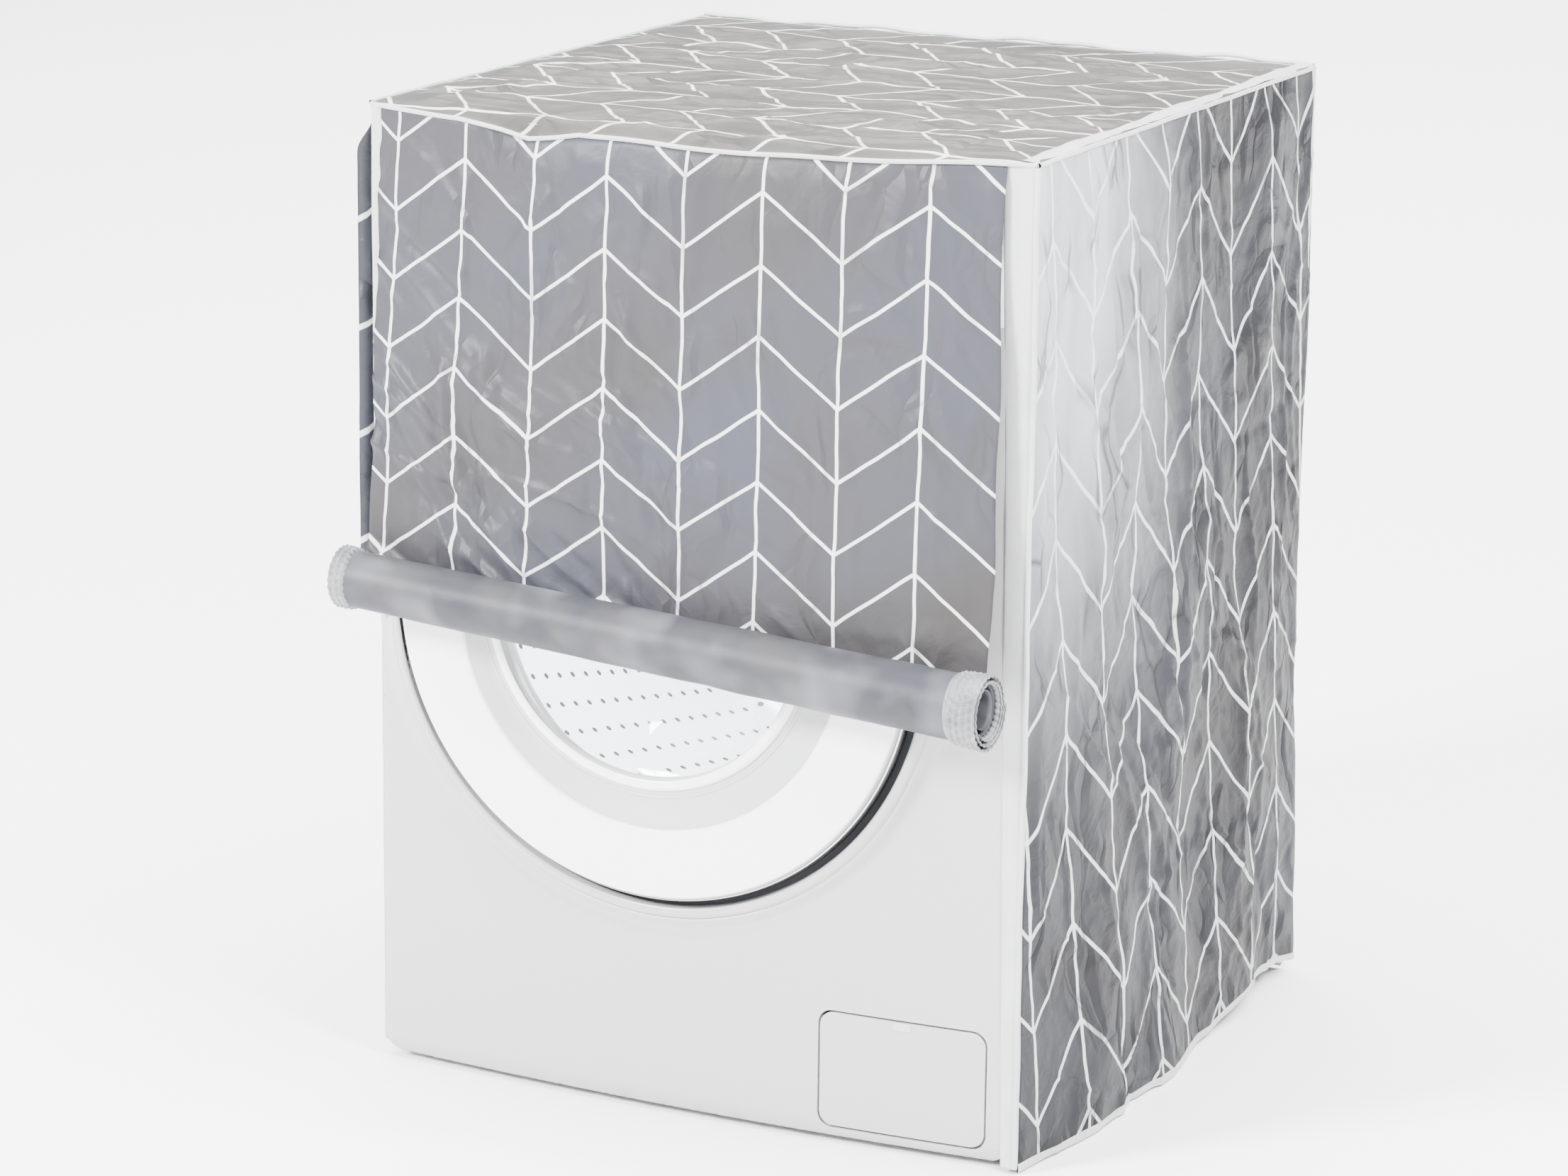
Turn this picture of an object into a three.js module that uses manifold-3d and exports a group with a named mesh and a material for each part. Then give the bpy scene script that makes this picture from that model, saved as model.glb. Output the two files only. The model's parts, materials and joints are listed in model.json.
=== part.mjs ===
// A front-loading washing machine under a fitted dust cover with a roll-up front flap.
// Millimetres, +Z up, the front faces -Y. The origin is on the floor, under the middle of the whole.
import * as THREE from 'three';
import { mergeVertices } from 'three/addons/utils/BufferGeometryUtils.js';
import Module from 'manifold-3d';

const wasm = await Module();
wasm.setup();

// Driving dimensions of the cover
const coverWidth = 615;
const coverDepth = 606;
const coverHeight = 850;
const clothThick = 2;
const rollReach = 99; // the flap roll stands this far in front of the cover's front plane
const backFace = (coverDepth + rollReach) / 2;
const frontPlane = backFace - coverDepth;
const coverBottom = 4;
const topBow = 25; // the front edge of the top bows forward by this much in the middle

// Driving dimensions of the machine
const caseHalf = 304.5; // half its width
const sheetThick = 2.5;
const gap = 0.3;
const panelBow = 14; // the front is an arc in plan, this much proud in the middle
const panelEdge = frontPlane + 1;
const panelMid = panelEdge - panelBow;
const panelRadius = (caseHalf ** 2 + panelBow ** 2) / (2 * panelBow);
const arcCentre = panelMid + panelRadius;
const caseFront = panelEdge + 3.5;
const rearPanelY = 327;
const lidTop = 845;
const lidBottom = 826;
const fasciaBottom = 714.3;
const panelBottom = 12;

// Driving dimensions of the door and the drum, all on one axis along Y
const doorX = -26;
const doorZ = 438;
const doorRadius = 242;
const ringInner = 180;
const windowRadius = 152;
const doorThick = 14;
const doorFront = panelMid - 17;
const doorBack = doorFront + doorThick;
const portRadius = 174;
const hingeX = doorX - 250;
const hingeY = panelMid + 4;
const drumRadius = 242;
const drumFront = -212;
const drumBack = 190;
const tubRadius = 262;
const tubFront = -226;
const tubBack = 215;
const pulleyY = 245;

// Driving dimensions of the flap roll
const rollRadius = 28;
const rollZ = 434;
const rollTilt = 0.064; // radians, the left end higher
const rollY = -backFace + 33;
const rollHalf = 284;
const bandLeft = 300;
const bandRight = 305;
const hemRadius = 33;

const paint = {
  enamel: { color: 0xe9e9ea, roughness: 0.35, metalness: 0 },
  plastic: { color: 0xf2f2f2, roughness: 0.3, metalness: 0 },
  greyPlastic: { color: 0xb9bbbe, roughness: 0.4, metalness: 0 },
  darkPlastic: { color: 0x3a3c40, roughness: 0.5, metalness: 0 },
  steel: { color: 0xc9ccd0, roughness: 0.3, metalness: 1 },
  iron: { color: 0x77797c, roughness: 0.6, metalness: 0.8 },
  rubber: { color: 0x8d9094, roughness: 0.7, metalness: 0 },
  blackRubber: { color: 0x1f2022, roughness: 0.8, metalness: 0 },
  glass: { color: 0xdfe9ee, roughness: 0.05, metalness: 0 },
  concrete: { color: 0x9a9894, roughness: 0.9, metalness: 0 },
  film: { color: 0xa5a6ab, roughness: 0.45, metalness: 0 },
  binding: { color: 0xf3f3f2, roughness: 0.5, metalness: 0 },
};

const assembly = new THREE.Group();

function addPart(name, geometry, finish) {
  const mesh = new THREE.Mesh(geometry, new THREE.MeshStandardMaterial(paint[finish]));
  mesh.name = name;
  assembly.add(mesh);
  return mesh;
}

// Booleans on closed meshes
function toSolid(geometry) {
  const bare = new THREE.BufferGeometry();
  bare.setAttribute('position', geometry.getAttribute('position').clone());
  if (geometry.index) bare.setIndex(geometry.index.clone());
  const merged = mergeVertices(bare, 1e-3);
  const vertProperties = new Float32Array(merged.getAttribute('position').array);
  const triVerts = new Uint32Array(merged.index.array);
  return new wasm.Manifold(new wasm.Mesh({ numProp: 3, vertProperties, triVerts }));
}

function toGeometry(solid) {
  const mesh = solid.getMesh();
  const geometry = new THREE.BufferGeometry();
  geometry.setAttribute('position', new THREE.BufferAttribute(mesh.vertProperties, 3));
  geometry.setIndex(new THREE.BufferAttribute(mesh.triVerts, 1));
  return geometry;
}

function cut(geometry, ...tools) {
  return toGeometry(tools.reduce((solid, tool) => solid.subtract(toSolid(tool)), toSolid(geometry)));
}

function join(geometry, ...others) {
  return toGeometry(others.reduce((solid, other) => solid.add(toSolid(other)), toSolid(geometry)));
}

function common(geometry, other) {
  return toGeometry(toSolid(geometry).intersect(toSolid(other)));
}

// Plain shapes
function box(x0, x1, y0, y1, z0, z1) {
  const geometry = new THREE.BoxGeometry(x1 - x0, y1 - y0, z1 - z0);
  return geometry.translate((x0 + x1) / 2, (y0 + y1) / 2, (z0 + z1) / 2);
}

// A lathe about an axis along Y through (x, z); the profile is [radius, y] and runs anticlockwise
function turnedY(profile, x, z, segments = 40) {
  const points = profile.map(([r, y]) => new THREE.Vector2(r, y));
  if (profile[0][0] > 0) points.push(points[0].clone());
  return new THREE.LatheGeometry(points, segments).translate(x, 0, z);
}

// The same about an axis along Z through (x, y); the profile is [radius, z]
function turnedZ(profile, x, y, segments = 20) {
  const points = profile.map(([r, z]) => new THREE.Vector2(r, z));
  if (profile[0][0] > 0) points.push(points[0].clone());
  return new THREE.LatheGeometry(points, segments).rotateX(Math.PI / 2).translate(x, y, 0);
}

function discY(radius, y0, y1, x, z, segments = 40) {
  return turnedY([[0, y0], [radius, y0], [radius, y1], [0, y1]], x, z, segments);
}

function ringY(inner, outer, y0, y1, x, z, segments = 40) {
  return turnedY([[inner, y0], [outer, y0], [outer, y1], [inner, y1]], x, z, segments);
}

function discZ(radius, z0, z1, x, y, segments = 20) {
  return turnedZ([[0, z0], [radius, z0], [radius, z1], [0, z1]], x, y, segments);
}

// A closed outline in the XZ plane, carried from y0 to y1
function slabY(shape, y0, y1, curveSegments = 6) {
  const geometry = new THREE.ExtrudeGeometry(shape, { depth: y1 - y0, bevelEnabled: false, curveSegments });
  return geometry.rotateX(Math.PI / 2).translate(0, y1, 0);
}

function roundedOutline(x0, x1, z0, z1, r) {
  const shape = new THREE.Shape();
  shape.moveTo(x0 + r, z0);
  shape.lineTo(x1 - r, z0);
  shape.absarc(x1 - r, z0 + r, r, -Math.PI / 2, 0, false);
  shape.lineTo(x1, z1 - r);
  shape.absarc(x1 - r, z1 - r, r, 0, Math.PI / 2, false);
  shape.lineTo(x0 + r, z1);
  shape.absarc(x0 + r, z1 - r, r, Math.PI / 2, Math.PI, false);
  shape.lineTo(x0, z0 + r);
  shape.absarc(x0 + r, z0 + r, r, Math.PI, Math.PI * 1.5, false);
  return shape;
}

// How far forward the bowed front stands at x, with its surface moved in by inset
function frontY(x, inset = 0) {
  return arcCentre - Math.sqrt((panelRadius - inset) ** 2 - x ** 2);
}

// A plate that follows the bowed front, from outer to inner below its surface, between two heights
function bowedPlate(half, z0, z1, outer, inner, steps = 18) {
  const shape = new THREE.Shape();
  for (let i = 0; i <= steps; i++) {
    const x = -half + (2 * half * i) / steps;
    if (i === 0) shape.moveTo(x, frontY(x, outer));
    else shape.lineTo(x, frontY(x, outer));
  }
  for (let i = steps; i >= 0; i--) {
    const x = -half + (2 * half * i) / steps;
    shape.lineTo(x, inner === null ? panelEdge + 60 : frontY(x, inner));
  }
  shape.closePath();
  const geometry = new THREE.ExtrudeGeometry(shape, { depth: z1 - z0, bevelEnabled: false });
  return geometry.translate(0, 0, z0);
}

// Cabinet
const pumpDoor = { x0: 130, x1: 280, z0: 16, z1: 118, r: 12 };
const drawer = { x0: -284, x1: -132, z0: 742, z1: 820 };
const screen = { x0: 62, x1: 150, z0: 766, z1: 798 };
const buttonXs = [188, 228];
const controlZ = 782;
const knobX = 0;
const lockX = doorX + 205;

function buildCabinet() {
  for (const [side, sign] of [['left', -1], ['right', 1]]) {
    const [a, b] = [sign * (caseHalf - sheetThick), sign * caseHalf];
    addPart(`cabinet_${side}_wall`, box(Math.min(a, b), Math.max(a, b), caseFront, rearPanelY - 2.6, 14,
      lidBottom - gap), 'enamel');
  }
  const rear = box(-caseHalf, caseHalf, rearPanelY - 2.3, rearPanelY, 14, lidBottom - gap);
  addPart('cabinet_rear_panel', cut(rear, discY(20.5, 300, 340, 200, 760, 24),
    discY(17.5, 300, 340, -220, 700, 24), discY(12.5, 300, 340, -120, 740, 24)), 'enamel');

  const tray = box(-294, 294, caseFront + 1, rearPanelY - 3, 14.5, 44);
  const hollow = box(-286, 286, caseFront + 8, rearPanelY - 10, 18, 60);
  const stems = footPlaces.map(([, x, y]) => discZ(5.6, 0, 60, x, y, 16));
  addPart('base_pan', cut(tray, hollow, ...stems), 'enamel');

  const lid = common(box(-caseHalf, caseHalf, -400, 343, lidBottom, lidTop),
    join(bowedPlate(caseHalf + 1, 800, 900, 3.4, null), box(-400, 400, panelEdge + 20, 400, 800, 900)));
  addPart('top_lid', lid, 'enamel');

  const latchSlot = box(lockX - 9, lockX + 9, -300, -200, doorZ - 14, doorZ + 14);
  const panel = bowedPlate(caseHalf, panelBottom, fasciaBottom - gap, 0, sheetThick);
  const opening = slabY(roundedOutline(pumpDoor.x0 - 0.8, pumpDoor.x1 + 0.8, pumpDoor.z0 - 0.8,
    pumpDoor.z1 + 0.8, pumpDoor.r + 0.8), -300, -180);
  addPart('front_panel', cut(panel, discY(portRadius, -300, -180, doorX, doorZ, 48), opening, latchSlot), 'enamel');

  const collar = cut(ringY(216, 236, doorBack + gap, -200, doorX, doorZ, 48),
    bowedPlate(caseHalf + 20, 0, 800, -gap, null),
    box(doorX - 260, doorX - 205, -300, -200, doorZ - 21, doorZ + 21));
  addPart('door_seat_collar', collar, 'darkPlastic');
  const seat = turnedY([[246, doorBack + 1], [252, doorBack + 0.6], [268, doorBack + 9], [277, doorBack + 16.3],
    [277, -200], [246, -200]], doorX, doorZ, 44);
  addPart('door_surround', cut(seat, bowedPlate(caseHalf, 0, 900, -gap, null),
    box(doorX - 290, doorX - 200, -300, -200, doorZ - 36, doorZ + 36)), 'enamel');

  const fascia = bowedPlate(caseHalf, fasciaBottom, lidTop - gap, 0, 3);
  const holes = [
    box(drawer.x0 - 0.8, drawer.x1 + 0.8, -300, -200, drawer.z0 - 0.8, drawer.z1 + 0.8),
    box(screen.x0 - 0.4, screen.x1 + 0.4, -300, -200, screen.z0 - 0.4, screen.z1 + 0.4),
    discY(6.5, -300, -200, knobX, controlZ, 20),
    ...buttonXs.map((x) => discY(7.5, -300, -200, x, controlZ, 20)),
  ];
  addPart('control_fascia', cut(fascia, ...holes), 'plastic');
  addPart('display_window', common(box(screen.x0, screen.x1, -300, -200, screen.z0, screen.z1),
    bowedPlate(caseHalf, 700, 800, 0.4, 2.6)), 'darkPlastic');
  addPart('power_cord_inlet', discY(12, rearPanelY - 20, rearPanelY + 12, -120, 740, 20), 'blackRubber');
  addPart('water_inlet_valve', join(discY(20, rearPanelY - 40, rearPanelY + 4, 200, 760, 24),
    discY(11, rearPanelY, rearPanelY + 18, 200, 760, 16)), 'plastic');
  addPart('drain_spigot', cut(discY(17, rearPanelY - 30, rearPanelY + 18, -220, 700, 24),
    discY(12, rearPanelY - 20, rearPanelY + 30, -220, 700, 16)), 'darkPlastic');
}

const footPlaces = [
  ['front_left', -255, -190], ['front_right', 255, -190],
  ['rear_left', -255, 285], ['rear_right', 255, 285],
];

function buildFeet() {
  for (const [place, x, y] of footPlaces) {
    const pad = turnedZ([[0, 0], [21, 0], [21, 7], [15, 10], [5, 10], [5, 38], [0, 38]], x, y, 16);
    addPart(`${place}_foot`, pad, 'blackRubber');
  }
}

// Detergent drawer
function buildDrawer() {
  const { x0, x1, z0, z1 } = drawer;
  const backY = caseFront + 0.5;
  const face = common(box(x0, x1, -300, backY, z0, z1), bowedPlate(caseHalf, 700, 900, 0, null));
  addPart('drawer_front', cut(face, box(x0 + 30, x1 - 30, -300, backY - 8, z0 - 1, z0 + 12)), 'plastic');
  const tray = box(x0 + 6, x1 - 6, backY + gap, 12, z0 + 6, z1 - 8);
  const cups = [[x0 + 9, -238], [-235, -190], [-187, x1 - 9]].map(
    ([a, b]) => box(a, b, backY + 3, 8, z0 + 10, z1));
  addPart('detergent_tray', cut(tray, ...cups), 'plastic');
  const housing = box(x0 + 1.5, x1 - 1.5, caseFront + 1.5, 24, z0, z1);
  addPart('dispenser_housing', cut(housing, box(x0 + 4, x1 - 4, -300, 21, z0 + 3, z1 - 3)), 'greyPlastic');
}

// Controls
function buildControls() {
  const y = frontY(knobX);
  const knob = turnedY([[0, y - 10], [20, y - 10], [23, y - 8], [24, y - 0.5], [5.5, y - 0.5], [5.5, y + 12],
    [0, y + 12]], knobX, controlZ, 36);
  const grip = box(knobX - 2, knobX + 2, y - 12, y - 9, controlZ + 5, controlZ + 20);
  addPart('programme_knob', cut(knob, grip), 'plastic');
  ['start', 'spin_speed'].forEach((name, i) => {
    const face = frontY(buttonXs[i]);
    addPart(`${name}_button`, turnedY([[0, face - 3], [6, face - 3], [7, face - 2], [7, face + 9],
      [0, face + 9]], buttonXs[i], controlZ, 20), 'greyPlastic');
  });
}

// Door
function buildDoor() {
  addPart('door_ring', turnedY([[ringInner, doorFront + 2], [ringInner + 3, doorFront], [236, doorFront],
    [240, doorFront + 1.2], [doorRadius, doorFront + 4], [doorRadius, doorBack], [ringInner, doorBack]],
  doorX, doorZ, 44), 'plastic');
  addPart('door_bezel', turnedY([[windowRadius, doorBack - 4], [windowRadius + 3, doorBack - 5],
    [ringInner - 3, doorFront + 1.2], [ringInner - gap, doorFront + 2.5], [ringInner - gap, doorFront + 6],
    [windowRadius, doorBack - 1]], doorX, doorZ, 44), 'greyPlastic');
  addPart('door_inner_frame', ringY(142, 198, doorBack + 0.1, doorBack + 2.2, doorX, doorZ, 40), 'greyPlastic');
  const y0 = doorBack - 4;
  addPart('door_glass', turnedY([[0, y0 + 86], [56, y0 + 84], [92, y0 + 76], [106, y0 + 60], [120, y0 + 28],
    [134, y0], [151, y0], [151, y0 + 3.6], [139, y0 + 3.6], [126, y0 + 30], [112, y0 + 63], [97, y0 + 80],
    [57, y0 + 88.5], [0, y0 + 90.5]], doorX, doorZ, 32), 'glass');
  addPart('door_latch_hook', join(box(lockX - 4, lockX + 2, doorBack + gap, doorBack + 23, doorZ - 9, doorZ + 9),
    box(lockX - 4, lockX + 6, doorBack + 16, doorBack + 23, doorZ - 9, doorZ + 9)), 'steel');
  const knuckle = discZ(7, doorZ - 16, doorZ + 16, hingeX, hingeY, 20);
  const strap = box(hingeX, hingeX + 50, doorBack + gap, doorBack + 5, doorZ - 15, doorZ + 15);
  addPart('door_hinge_arm', cut(join(knuckle, strap), discZ(3.4, doorZ - 30, doorZ + 30, hingeX, hingeY)),
    'steel');
  addPart('door_hinge_pin', discZ(3, doorZ - 30, doorZ + 30, hingeX, hingeY), 'steel');
  const lug = (z0) => join(discZ(7, z0, z0 + 12, hingeX, hingeY),
    box(hingeX - 18, hingeX, hingeY + 1, hingeY + 7, z0, z0 + 12));
  const plate = box(hingeX - 25, hingeX - 12, panelEdge - 10, panelEdge - 6.5, doorZ - 32, doorZ + 32);
  const post = box(hingeX - 20, hingeX - 12, hingeY + 1, panelEdge - 6.5, doorZ - 32, doorZ + 32);
  addPart('door_hinge_bracket', cut(join(plate, post, lug(doorZ - 30), lug(doorZ + 18)),
    discZ(3.4, doorZ - 40, doorZ + 40, hingeX, hingeY), box(hingeX - 8.5, hingeX + 10, -300, -200,
      doorZ - 17, doorZ + 17)), 'steel');
  const lockBody = box(lockX - 14, lockX + 22, frontY(lockX) + 6, frontY(lockX) + 20, doorZ - 26, doorZ + 26);
  addPart('door_lock', cut(lockBody, box(lockX - 8, lockX + 10, -300, frontY(lockX) + 16, doorZ - 13,
    doorZ + 13)), 'darkPlastic');
}

// Washing group
function buildWashingGroup() {
  addPart('tub', turnedY([[180, tubFront], [tubRadius, tubFront], [tubRadius, tubBack], [31, tubBack],
    [31, tubBack - 5], [tubRadius - 5, tubBack - 5], [tubRadius - 5, tubFront + 5], [180, tubFront + 5]],
  doorX, doorZ, 32), 'greyPlastic');
  addPart('door_gasket', turnedY([[166, -247], [172, -254], [177, -254], [177, -248], [186, -240],
    [176, -236], [190, -230], [190, tubFront - gap], [168, tubFront - gap], [162, -234]], doorX, doorZ, 28),
  'rubber');
  addPart('drum', turnedY([[170, drumFront], [drumRadius, drumFront], [drumRadius, drumBack], [12.6, drumBack],
    [12.6, drumBack - 2], [drumRadius - 2, drumBack - 2], [drumRadius - 2, drumFront + 2],
    [170, drumFront + 2]], doorX, doorZ, 36), 'steel');
  for (let i = 0; i < 3; i++) {
    const lifter = new THREE.Shape([[-26, -236], [26, -236], [9, -196], [-9, -196]].map(
      ([x, z]) => new THREE.Vector2(x, z)));
    const geometry = slabY(lifter, -190, 170).rotateY((i * 2 * Math.PI) / 3 - 0.65);
    addPart(`drum_lifter_${i + 1}`, geometry.translate(doorX, 0, doorZ), 'plastic');
  }
  addPart('drum_shaft', discY(12, drumBack - 20, pulleyY + 16, doorX, doorZ, 24), 'steel');
  addPart('drum_bearing', ringY(12.6, 30, drumBack + 6, tubBack + 18, doorX, doorZ, 32), 'steel');
  addPart('drum_pulley', turnedY([[12.6, pulleyY - 8], [30, pulleyY - 8], [30, pulleyY], [126, pulleyY],
    [126, pulleyY + 12], [118, pulleyY + 12], [118, pulleyY + 6], [30, pulleyY + 6], [30, pulleyY + 12],
    [12.6, pulleyY + 12]], doorX, doorZ, 28), 'iron');

  const motor = { x: 70, z: 128, r: 44 };
  addPart('motor_housing', discY(motor.r, 90, pulleyY - 16, motor.x, motor.z, 32), 'iron');
  addPart('motor_pulley', join(discY(12, pulleyY - 1, pulleyY + 13, motor.x, motor.z, 24),
    discY(6, pulleyY - 15, pulleyY, motor.x, motor.z, 16)), 'steel');
  addPart('drive_belt', beltBand(doorX, doorZ, 126.6, motor.x, motor.z, 12.6, 2.4, pulleyY + 1, pulleyY + 11),
    'blackRubber');

  const block = box(-110, 225, -60, 150, 640, 772);
  addPart('counterweight', cut(block, discY(tubRadius + 2, -80, 170, doorX, doorZ, 48)), 'concrete');
  for (const [side, sign] of [['left', -1], ['right', 1]]) {
    addPart(`suspension_spring_${side}`, coil(sign * 276, 150, 660, 790, 9, 1.8, 7), 'steel');
    const strut = new THREE.CylinderGeometry(9, 9, 150, 16).rotateX(Math.PI / 2);
    addPart(`damper_${side}`, strut.rotateY(sign * 0.45).translate(sign * 205, -20, 128), 'darkPlastic');
  }
  addPart('drain_pump', box(160, 250, -196, -110, 26, 96), 'greyPlastic');
  addPart('pump_filter_cap', join(discY(27, -214, -196.4, 205, 62, 28), box(201, 209, -226, -210, 40, 84)),
    'plastic');
}

// A closed belt of the given thickness round two pulleys, its section square along Y
function beltBand(xa, za, ra, xb, zb, rb, thick, y0, y1) {
  const away = Math.atan2(zb - za, xb - xa);
  const span = Math.hypot(xb - xa, zb - za);
  const outline = (extra) => {
    const tilt = Math.acos((ra - rb) / span);
    const points = [];
    const arc = (x, z, r, from, to, steps) => {
      for (let i = 0; i <= steps; i++) {
        const angle = from + ((to - from) * i) / steps;
        points.push(new THREE.Vector2(x + (r + extra) * Math.cos(angle), z + (r + extra) * Math.sin(angle)));
      }
    };
    arc(xa, za, ra, away + tilt, away + 2 * Math.PI - tilt, 28);
    arc(xb, zb, rb, away - tilt, away + tilt, 12);
    return points;
  };
  const shape = new THREE.Shape(outline(thick));
  shape.holes.push(new THREE.Path(outline(0.6)));
  return slabY(shape, y0, y1);
}

// A coil spring standing along Z
function coil(x, y, z0, z1, radius, wire, turns) {
  class Helix extends THREE.Curve {
    getPoint(t, target = new THREE.Vector3()) {
      const angle = 2 * Math.PI * turns * t;
      return target.set(x + radius * Math.cos(angle), y + radius * Math.sin(angle), z0 + (z1 - z0) * t);
    }
  }
  const section = new THREE.Shape([0, 1, 2, 3].map((i) => new THREE.Vector2(
    wire * Math.cos((i * Math.PI) / 2), wire * Math.sin((i * Math.PI) / 2))));
  return new THREE.ExtrudeGeometry(section, { steps: turns * 8, extrudePath: new Helix() });
}

// Service flap at the lower right
function buildPumpFlap() {
  const { x0, x1, z0, z1, r } = pumpDoor;
  const outline = slabY(roundedOutline(x0, x1, z0, z1, r), -300, -180);
  const flap = common(outline, bowedPlate(caseHalf, 0, 200, 0, sheetThick));
  addPart('pump_flap', cut(flap, box(197, 213, -300, -200, z1 - 4, z1 + 1)), 'enamel');
}

// Cover. The front edge of the top follows a parabola in plan
function topFrontY(x) {
  return frontPlane - topBow * (1 - (x / (coverWidth / 2)) ** 2);
}

function buildCover() {
  const half = coverWidth / 2;
  const shape = new THREE.Shape();
  const steps = 16;
  shape.moveTo(-half, topFrontY(-half));
  for (let i = 1; i <= steps; i++) {
    const x = -half + (2 * half * i) / steps;
    shape.lineTo(x, topFrontY(x));
  }
  shape.lineTo(half, backFace);
  shape.lineTo(-half, backFace);
  shape.closePath();
  const top = new THREE.ExtrudeGeometry(shape, { depth: clothThick, bevelEnabled: false });
  addPart('cover_top', top.translate(0, 0, coverHeight - clothThick), 'film');
  const under = coverHeight - clothThick - gap;
  for (const [side, sign] of [['left', -1], ['right', 1]]) {
    const [a, b] = [sign * (half - clothThick), sign * half];
    addPart(`cover_${side}_side`, box(Math.min(a, b), Math.max(a, b), frontPlane, backFace - clothThick - gap,
      coverBottom, under), 'film');
  }
  addPart('cover_back', box(-half, half, backFace - clothThick, backFace, coverBottom, under), 'film');
}

// Front flap: it hangs from the top edge, rests over the door and ends in the roll
function flapPoint(u, t) {
  const half = coverWidth / 2 - 25;
  const x = -half + 2 * half * u;
  const side = Math.abs(x / half);
  const top = topFrontY(x) + 1.5;
  const low = rollY + rollRadius + 2;
  const edge = top + (low - top) * t ** 1.5;
  const middle = top + (low - top) * Math.min(1, t / 0.28) ** 0.7;
  const bulge = 1 - side ** 8;
  const bottom = rollZ + rollTilt * -x;
  return [x, edge + (middle - edge) * bulge, coverHeight - clothThick - gap - t * (coverHeight - bottom)];
}

function clothSlab(point, across, down, thick) {
  const positions = [];
  const index = [];
  const at = (layer, i, j) => layer * (across + 1) * (down + 1) + i * (down + 1) + j;
  for (const layer of [0, 1]) {
    for (let i = 0; i <= across; i++) {
      for (let j = 0; j <= down; j++) {
        const [x, y, z] = point(i / across, j / down);
        positions.push(x, y + layer * thick, z);
      }
    }
  }
  const quad = (a, b, c, d) => index.push(a, b, c, a, c, d);
  for (let i = 0; i < across; i++) {
    for (let j = 0; j < down; j++) {
      quad(at(0, i, j), at(0, i, j + 1), at(0, i + 1, j + 1), at(0, i + 1, j));
      quad(at(1, i, j), at(1, i + 1, j), at(1, i + 1, j + 1), at(1, i, j + 1));
    }
  }
  for (let i = 0; i < across; i++) {
    quad(at(0, i, 0), at(0, i + 1, 0), at(1, i + 1, 0), at(1, i, 0));
    quad(at(0, i, down), at(1, i, down), at(1, i + 1, down), at(0, i + 1, down));
  }
  for (let j = 0; j < down; j++) {
    quad(at(0, 0, j), at(1, 0, j), at(1, 0, j + 1), at(0, 0, j + 1));
    quad(at(0, across, j), at(0, across, j + 1), at(1, across, j + 1), at(1, across, j));
  }
  const geometry = new THREE.BufferGeometry();
  geometry.setAttribute('position', new THREE.Float32BufferAttribute(positions, 3));
  geometry.setIndex(index);
  return geometry;
}

function buildFlap() {
  addPart('front_flap', clothSlab(flapPoint, 12, 8, 1.2), 'film');
  const tube = (x0, x1, outer, inner) => {
    const ring = [[inner, x0], [outer, x0], [outer, x1], [inner, x1]].map(([r, x]) => new THREE.Vector2(r, x));
    ring.push(ring[0].clone());
    const geometry = new THREE.LatheGeometry(ring, 24).rotateZ(-Math.PI / 2);
    return geometry.rotateY(rollTilt).translate(0, rollY, rollZ);
  };
  addPart('flap_roll', tube(-rollHalf, rollHalf, rollRadius, 8), 'film');
  addPart('roll_left_hem', tube(-bandLeft, -rollHalf - gap, hemRadius, 18), 'binding');
  addPart('roll_right_hem', tube(rollHalf + gap, bandRight, hemRadius, 18), 'binding');
}

buildCabinet();
buildFeet();
buildDrawer();
buildControls();
buildDoor();
buildWashingGroup();
buildPumpFlap();
buildCover();
buildFlap();

export default assembly;
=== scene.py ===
import json
import math

import bpy
import numpy as np
from mathutils import Matrix, Vector, geometry


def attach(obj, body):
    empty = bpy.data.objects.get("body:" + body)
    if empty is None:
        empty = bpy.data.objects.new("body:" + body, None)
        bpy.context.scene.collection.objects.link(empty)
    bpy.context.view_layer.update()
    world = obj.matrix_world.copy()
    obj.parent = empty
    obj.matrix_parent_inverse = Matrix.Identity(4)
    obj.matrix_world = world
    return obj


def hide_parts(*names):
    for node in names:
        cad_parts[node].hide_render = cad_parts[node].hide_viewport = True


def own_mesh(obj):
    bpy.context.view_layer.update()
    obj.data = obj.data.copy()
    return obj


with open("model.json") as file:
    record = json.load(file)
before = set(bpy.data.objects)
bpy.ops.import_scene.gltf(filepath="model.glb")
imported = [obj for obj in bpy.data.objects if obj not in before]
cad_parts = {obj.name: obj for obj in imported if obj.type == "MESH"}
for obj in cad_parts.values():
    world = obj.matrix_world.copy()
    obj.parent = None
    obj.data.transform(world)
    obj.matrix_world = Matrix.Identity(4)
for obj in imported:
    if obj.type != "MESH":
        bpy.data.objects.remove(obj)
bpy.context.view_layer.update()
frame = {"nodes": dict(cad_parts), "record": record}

# A front loader under a printed film cover. Shapes are worked out in millimetres and made in metres.
# The cover's box, the flap roll and the door's axis, as in the CAD
half = 307.5
front = -253.5
back = 351.0
top = 849.0
topBow = 25.0
rollY = -319.5
rollZ = 434.0
rollTilt = 0.064
doorX = -26.0
doorZ = 438.0
doorFront = -283.5
arcRadius = 3318.4
arcCentre = -266.5 + arcRadius


# Numbers and small helpers
def toLinear(shade):
    parts = [int(shade[i:i + 2], 16) / 255 for i in (1, 3, 5)]
    return [c / 12.92 if c <= 0.04045 else ((c + 0.055) / 1.055) ** 2.4 for c in parts] + [1.0]


def smoothStep(low, high, x):
    t = np.clip((x - low) / (high - low), 0, 1)
    return t * t * (3 - 2 * t)


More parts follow.
